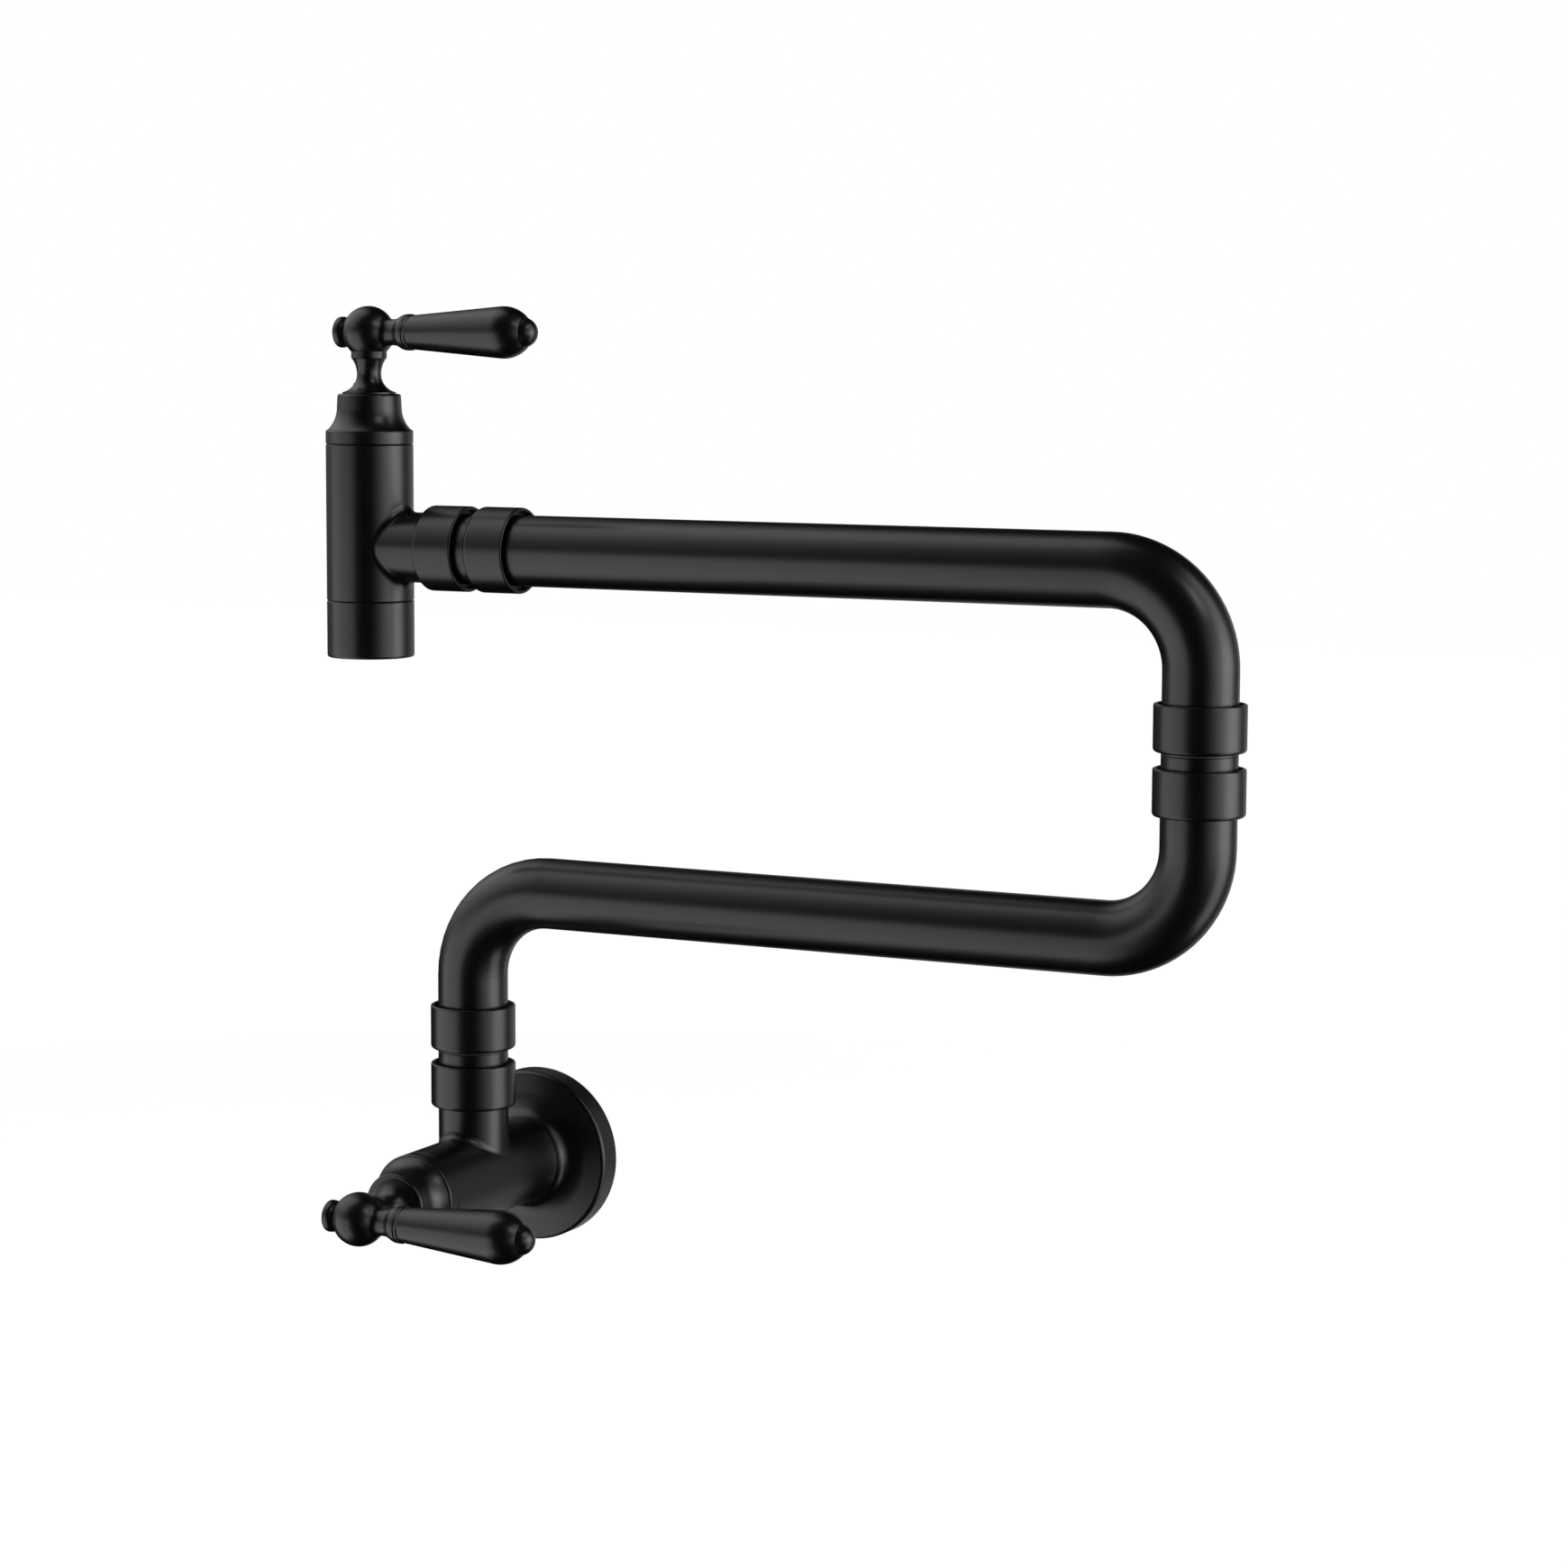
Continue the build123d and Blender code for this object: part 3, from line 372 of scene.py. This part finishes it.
def coat_material(name, settings):
    """Sprayed black coat, and the nodes that a piece with a bare part needs."""
    material, tree, shader = new_material(name, Specular_IOR_Level=settings.coat_gloss)
    skin = use_group(tree, "fine_surface", {
        "Vector": object_place(tree), "Grain": settings.coat_grain,
        "Roughness": settings.coat_roughness, "Spread": 0.03})
    colour = blend_colours(
        tree, skin["Shade"], rgba(settings.coat_colour), rgba(settings.coat_colour, 1.3))
    tree.links.new(colour, shader.inputs["Base Color"])
    tree.links.new(skin["Roughness"], shader.inputs["Roughness"])
    add_bump(tree, shader, skin["Height"], COAT_MARKS)
    return material, tree, shader, colour, skin


def bare_where(tree, shader, mask, colour, bare, skin, roughness):
    """Turns the coat into bare metal where the mask is 1."""
    tree.links.new(blend_colours(tree, mask, colour, rgba(bare)), shader.inputs["Base Color"])
    tree.links.new(mask, shader.inputs["Metallic"])
    rough = add_node(tree, "ShaderNodeMix", {0: mask, 2: skin["Roughness"], 3: roughness}).outputs[0]
    tree.links.new(rough, shader.inputs["Roughness"])


def grained_material(name, colour, roughness, spread, grain, depth, **sockets):
    """Moulded rubber, plastic or ceramic, or blackened steel."""
    material, tree, shader = new_material(name, **sockets)
    skin = use_group(tree, "fine_surface", {
        "Vector": object_place(tree), "Grain": grain, "Roughness": roughness, "Spread": spread})
    shaded = blend_colours(tree, skin["Shade"], rgba(colour, 0.8), rgba(colour))
    tree.links.new(shaded, shader.inputs["Base Color"])
    tree.links.new(skin["Roughness"], shader.inputs["Roughness"])
    add_bump(tree, shader, skin["Height"], depth)
    return material


def brass_material(name, settings, axis, painted_shade_above=None):
    """Bare brass with the rings that the lathe left about an axis, and, if it has one, an end painted in
    the coat's black as painted shade in the gap under the handle.
    """
    material, tree, shader = new_material(name, Metallic=1.0)
    place = object_place(tree, *axis)
    marks = use_group(tree, "turning_marks", {"Vector": place, "Pitch": LATHE_TRAVEL})
    brass = settings.brass_colour
    colour = blend_colours(tree, marks["Shade"], rgba(brass, 0.82), rgba(brass))
    # Painted shade: above this height the stem takes the coat's black, so the gap between handle and
    # bonnet looks dark
    if painted_shade_above is not None:
        height = add_node(tree, "ShaderNodeSeparateXYZ", {0: place}).outputs[2]
        end = calculate(tree, "GREATER_THAN", height, painted_shade_above)
        colour = blend_colours(tree, end, colour, rgba(settings.coat_colour))
    tree.links.new(colour, shader.inputs["Base Color"])
    tree.links.new(calculate(tree, "MULTIPLY_ADD", marks["Shade"], 0.14, 0.22), shader.inputs["Roughness"])
    add_bump(tree, shader, marks["Height"], LATHE_MARKS)
    return material


class POTFILLER_OT_black_coat(bpy.types.Operator):
    """Coat the tubes, collars, valves, handles and escutcheon black"""

    bl_idname = "pot_filler.black_coat"
    bl_label = "Black Coat"

    def execute(self, context):
        settings = context.scene.pot_filler_finish
        coat = coat_material("black_coat", settings)[0]
        for node in nodes_in("black_finish"):
            dress(node, coat)
        self.bare_inlet(settings)
        self.bare_escutcheon_back(settings)
        return {"FINISHED"}

    def bare_inlet(self, settings):
        """The inlet's end face and bore are machined after coating, so they are bare brass."""
        material, tree, shader, colour, skin = coat_material("black_coat_machined_inlet", settings)
        across, height = from_axis(tree, object_place(tree, *WALL_STEM))
        end_face = -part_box("wall_valve_body")[1][1] + BARE_END_FACE
        bore = calculate(tree, "LESS_THAN", across, BARE_BORE)
        face = calculate(tree, "LESS_THAN", height, end_face)
        bare = calculate(tree, "MAXIMUM", bore, face)
        bare_where(tree, shader, bare, colour, settings.brass_colour, skin, roughness=0.3)
        dress("wall_valve_body", material)

    def bare_escutcheon_back(self, settings):
        """The escutcheon is coated from the front, so its hollow back stays bare metal."""
        material, tree, shader, colour, skin = coat_material("black_coat_front_only", settings)
        across, height = from_axis(tree, object_place(tree, *WALL_STEM))
        roof = calculate(tree, "MULTIPLY_ADD", across, HOLLOW_SLOPE, HOLLOW_ROOF)
        under = calculate(tree, "LESS_THAN", height, roof)
        within = calculate(tree, "LESS_THAN", across, BARE_HOLLOW)
        bare = calculate(tree, "MULTIPLY", under, within)
        bare_where(tree, shader, bare, colour, settings.brass_colour, skin, roughness=0.42)
        dress("wall_flange", material)


class POTFILLER_OT_bare_brass(bpy.types.Operator):
    """Make the stems, cartridges and gland nuts of turned brass"""

    bl_idname = "pot_filler.bare_brass"
    bl_label = "Bare Brass"

    def execute(self, context):
        settings = context.scene.pot_filler_finish
        for valve, axis, bonnet_top in (
                ("wall", WALL_STEM, -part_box("wall_bonnet")[0][1]),
                ("spout", SPOUT_STEM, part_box("spout_bonnet")[1][2])):
            # Painted shade: each stem is painted black from just under its bonnet's top, to darken the gap
            # under the handle
            painted_shade_from = bonnet_top - PAINTED_SHADE_STEM_DEPTH
            turned = brass_material("turned_brass_at_" + valve, settings, axis)
            stem = brass_material("stem_brass_painted_shade_at_" + valve, settings, axis, painted_shade_from)
            for node in nodes_in("brass"):
                if node.startswith(valve):
                    dress(node, stem if node.endswith("_stem") else turned)
        return {"FINISHED"}


class POTFILLER_OT_ceramic(bpy.types.Operator):
    """Make the valve discs of lapped ceramic"""

    bl_idname = "pot_filler.ceramic"
    bl_label = "Ceramic"

    def execute(self, context):
        settings = context.scene.pot_filler_finish
        material = grained_material(
            "lapped_ceramic", settings.ceramic_colour, roughness=0.16, spread=0.05, grain=0.3 * MM,
            depth=0.002 * MM)
        for node in nodes_in("ceramic"):
            dress(node, material)
        return {"FINISHED"}


class POTFILLER_OT_rubber(bpy.types.Operator):
    """Make the gasket, washers and rings of rubber"""

    bl_idname = "pot_filler.rubber"
    bl_label = "Rubber"

    def execute(self, context):
        settings = context.scene.pot_filler_finish
        material = grained_material(
            "black_rubber", settings.rubber_colour, roughness=0.62, spread=0.12, grain=0.5 * MM,
            depth=0.02 * MM, Sheen_Weight=0.05)
        for node in nodes_in("rubber"):
            dress(node, material)
        return {"FINISHED"}


class POTFILLER_OT_plastic(bpy.types.Operator):
    """Make the bushes, thrust washers and aerator of plastic"""

    bl_idname = "pot_filler.plastic"
    bl_label = "Plastic"

    def execute(self, context):
        settings = context.scene.pot_filler_finish
        moulded = {"spread": 0.08, "grain": 0.6 * MM, "depth": 0.01 * MM}
        dark = grained_material("dark_bearing_plastic", settings.plastic_colour, roughness=0.42, **moulded)
        pale = grained_material("aerator_plastic", settings.aerator_colour, roughness=0.38, **moulded)
        for node in nodes_in("bearing_plastic"):
            dress(node, pale if node == "aerator" else dark)
        return {"FINISHED"}


class POTFILLER_OT_steel(bpy.types.Operator):
    """Make the set screws, lock screw and clips of blackened steel"""

    bl_idname = "pot_filler.steel"
    bl_label = "Blackened Steel"

    def execute(self, context):
        settings = context.scene.pot_filler_finish
        material = grained_material(
            "blackened_steel", settings.steel_colour, roughness=0.38, spread=0.15, grain=0.3 * MM,
            depth=0.008 * MM, Metallic=1.0)
        for node in nodes_in("steel"):
            dress(node, material)
        return {"FINISHED"}


class POTFILLER_OT_inlet_thread(bpy.types.Operator):
    """Cut the thread in the water inlet"""

    bl_idname = "pot_filler.inlet_thread"
    bl_label = "Inlet Thread"

    def execute(self, context):
        thread = context.scene.pot_filler_thread
        root = thread.bore + RIDGE_BITE
        crest = thread.bore - thread.depth
        first = -thread.start - thread.pitch * thread.turns
        outline = [(root, share) for share in RIDGE_FOOT] + [(crest, share) for share in RIDGE_TOP]
        mesh = bmesh.new()
        profile = mesh.faces.new([
            mesh.verts.new((radius, first + share * thread.pitch, 0)) for radius, share in outline])
        bmesh.ops.spin(
            mesh, geom=[profile], cent=(0, 0, 0), axis=(0, 1, 0), dvec=(0, thread.pitch / RIDGE_STEPS, 0),
            angle=2 * math.pi * thread.turns, steps=RIDGE_STEPS * thread.turns)
        bmesh.ops.recalc_face_normals(mesh, faces=mesh.faces)
        data = bpy.data.meshes.new("inlet_thread")
        mesh.to_mesh(data)
        mesh.free()
        data.materials.append(brass_material("thread_brass", context.scene.pot_filler_finish, WALL_STEM))
        ridge = bpy.data.objects.new("inlet_thread", data)
        context.scene.collection.objects.link(ridge)
        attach(ridge, "wall_valve")
        return {"FINISHED"}


class POTFILLER_OT_stage(bpy.types.Operator):
    """Add the floor, the background, the lights and the camera"""

    bl_idname = "pot_filler.stage"
    bl_label = "Stage"

    def execute(self, context):
        stage = context.scene.pot_filler_stage
        context.scene.view_settings.view_transform = "Standard"
        self.add_camera(context.scene, stage)
        self.add_room(context.scene, stage)
        self.add_floor(context.scene, stage)
        self.add_tent(context.scene)
        self.add_lamp(context.scene, stage)
        return {"FINISHED"}

    def add_camera(self, scene, stage):
        """A long lens from the right, a little above the elbow."""
        camera = bpy.data.objects.new("camera", bpy.data.cameras.new("camera"))
        scene.collection.objects.link(camera)
        camera.data.lens = stage.lens
        camera.data.sensor_width = SENSOR_WIDTH
        camera.data.shift_x, camera.data.shift_y = CAMERA_SHIFT
        camera.location = CAMERA_PLACE
        camera.rotation_mode = "QUATERNION"
        level = math.cos(CAMERA_PITCH)
        look = Vector((
            -math.sin(CAMERA_YAW) * level, math.cos(CAMERA_YAW) * level, -math.sin(CAMERA_PITCH)))
        right = Vector((math.cos(CAMERA_YAW), math.sin(CAMERA_YAW), 0))
        up = right.cross(look)
        turned_right = right * math.cos(CAMERA_ROLL) + up * math.sin(CAMERA_ROLL)
        turned_up = up * math.cos(CAMERA_ROLL) - right * math.sin(CAMERA_ROLL)
        camera.rotation_quaternion = Matrix((turned_right, turned_up, -look)).transposed().to_quaternion()
        scene.camera = camera

    def add_room(self, scene, stage):
        """Even light from all round, white wherever it is seen, mirrored or looked through at."""
        room = bpy.data.worlds.new("white_room")
        scene.world = room
        room.use_nodes = True
        tree = room.node_tree
        tree.nodes.clear()
        path = add_node(tree, "ShaderNodeLightPath").outputs
        seen = path["Is Camera Ray"]
        for ray in ("Is Glossy Ray", "Is Transmission Ray"):
            seen = calculate(tree, "MAXIMUM", seen, path[ray])
        strength = calculate(tree, "MULTIPLY_ADD", seen, 1.0 - stage.room_light, stage.room_light)
        background = add_node(
            tree, "ShaderNodeBackground", {"Color": (1.0, 1.0, 1.0, 1.0), "Strength": strength})
        output = tree.nodes.new("ShaderNodeOutputWorld")
        tree.links.new(background.outputs[0], output.inputs["Surface"])

    def add_floor(self, scene, stage):
        """Pale floor that keeps the shadow, and is as white as the background elsewhere."""
        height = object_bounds()[0][2] - stage.floor_drop
        mesh = bmesh.new()
        bmesh.ops.create_grid(mesh, x_segments=1, y_segments=1, size=FLOOR_HALF_SIDE)
        bmesh.ops.translate(mesh, verts=mesh.verts, vec=(CENTRE.x, CENTRE.y, height))
        floor = self.stage_object(scene, "floor", mesh)
        material, tree, shader = new_material(
            "pale_floor", Roughness=0.9, Emission_Strength=FLOOR_BRIGHTNESS)
        cloud = add_node(tree, "ShaderNodeTexNoise", {
            "Vector": object_place(tree), "Scale": 3.0, "Detail": 4.0}).outputs[0]
        colour = blend_colours(tree, cloud, rgba(stage.floor_colour), rgba(stage.floor_colour, 1.03))
        tree.links.new(colour, shader.inputs["Base Color"])
        seen = add_node(tree, "ShaderNodeLightPath").outputs["Is Camera Ray"]
        tree.links.new(seen, shader.inputs["Emission Color"])
        floor.data.materials.append(material)
        floor.visible_glossy = False

    def add_tent(self, scene):
        """Dark tent round the part, seen by reflections alone, with windows of light."""
        mesh = bmesh.new()
        bmesh.ops.create_uvsphere(mesh, u_segments=48, v_segments=24, radius=TENT_RADIUS)
        bmesh.ops.translate(mesh, verts=mesh.verts, vec=CENTRE)
        tent = self.stage_object(scene, "studio_tent", mesh)
        for ray in ("camera", "diffuse", "transmission", "volume_scatter", "shadow"):
            setattr(tent, "visible_" + ray, False)
        material, tree, shader = new_material(
            "studio_tent", Base_Color=(0.0, 0.0, 0.0, 1.0), Roughness=1.0, Specular_IOR_Level=0.0,
            Emission_Strength=1.0)
        place = object_place(tree, tuple(CENTRE))
        light = 0.0
        for window in WINDOWS:
            sockets = {"Vector": place, **dict(zip(WINDOW_SOCKETS, window))}
            light = calculate(tree, "ADD", use_group(tree, "lit_window", sockets)["Light"], light)
        tree.links.new(light, shader.inputs["Emission Color"])
        material.cycles.emission_sampling = "NONE"
        tent.data.materials.append(material)

    def add_lamp(self, scene, stage):
        """Soft lamp overhead, for the shadow on the floor."""
        lamp = bpy.data.objects.new("overhead_lamp", bpy.data.lights.new("overhead_lamp", "AREA"))
        scene.collection.objects.link(lamp)
        lamp.data.shape = "DISK"
        lamp.data.size = LAMP_WIDTH
        lamp.data.energy = stage.lamp_power
        lamp.location = CENTRE + LAMP_FROM_CENTRE
        lamp.rotation_mode = "QUATERNION"
        lamp.rotation_quaternion = (lamp.location - CENTRE).to_track_quat("Z", "Y")
        lamp.visible_glossy = False

    def stage_object(self, scene, name, mesh):
        """An object of the stage, made from a bmesh."""
        data = bpy.data.meshes.new(name)
        mesh.to_mesh(data)
        mesh.free()
        made = bpy.data.objects.new(name, data)
        scene.collection.objects.link(made)
        made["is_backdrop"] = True
        return made


class POTFILLER_PT_panel(bpy.types.Panel):
    """Sizes, colours and steps of the pot filler"""

    bl_label = "Pot Filler"
    bl_space_type = "VIEW_3D"
    bl_region_type = "UI"
    bl_category = "Pot Filler"

    def draw(self, context):
        scene = context.scene
        for settings in (scene.pot_filler_finish, scene.pot_filler_thread, scene.pot_filler_stage):
            box = self.layout.box()
            for name in settings.__annotations__:
                box.prop(settings, name)
        for operator in OPERATORS:
            self.layout.operator(operator.bl_idname)


OPERATORS = (
    POTFILLER_OT_black_coat, POTFILLER_OT_bare_brass, POTFILLER_OT_ceramic, POTFILLER_OT_rubber,
    POTFILLER_OT_plastic, POTFILLER_OT_steel, POTFILLER_OT_inlet_thread, POTFILLER_OT_stage,
)
CLASSES = (PotFillerFinish, PotFillerThread, PotFillerStage, *OPERATORS, POTFILLER_PT_panel)


def register():
    for cls in CLASSES:
        bpy.utils.register_class(cls)
    bpy.types.Scene.pot_filler_finish = bpy.props.PointerProperty(type=PotFillerFinish)
    bpy.types.Scene.pot_filler_thread = bpy.props.PointerProperty(type=PotFillerThread)
    bpy.types.Scene.pot_filler_stage = bpy.props.PointerProperty(type=PotFillerStage)


def unregister():
    del bpy.types.Scene.pot_filler_stage
    del bpy.types.Scene.pot_filler_thread
    del bpy.types.Scene.pot_filler_finish
    for cls in reversed(CLASSES):
        bpy.utils.unregister_class(cls)


def main():
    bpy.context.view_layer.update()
    register()
    bpy.ops.pot_filler.black_coat()
    bpy.ops.pot_filler.bare_brass()
    bpy.ops.pot_filler.ceramic()
    bpy.ops.pot_filler.rubber()
    bpy.ops.pot_filler.plastic()
    bpy.ops.pot_filler.steel()
    bpy.ops.pot_filler.inlet_thread()
    bpy.ops.pot_filler.stage()


if __name__ == "__main__":
    main()
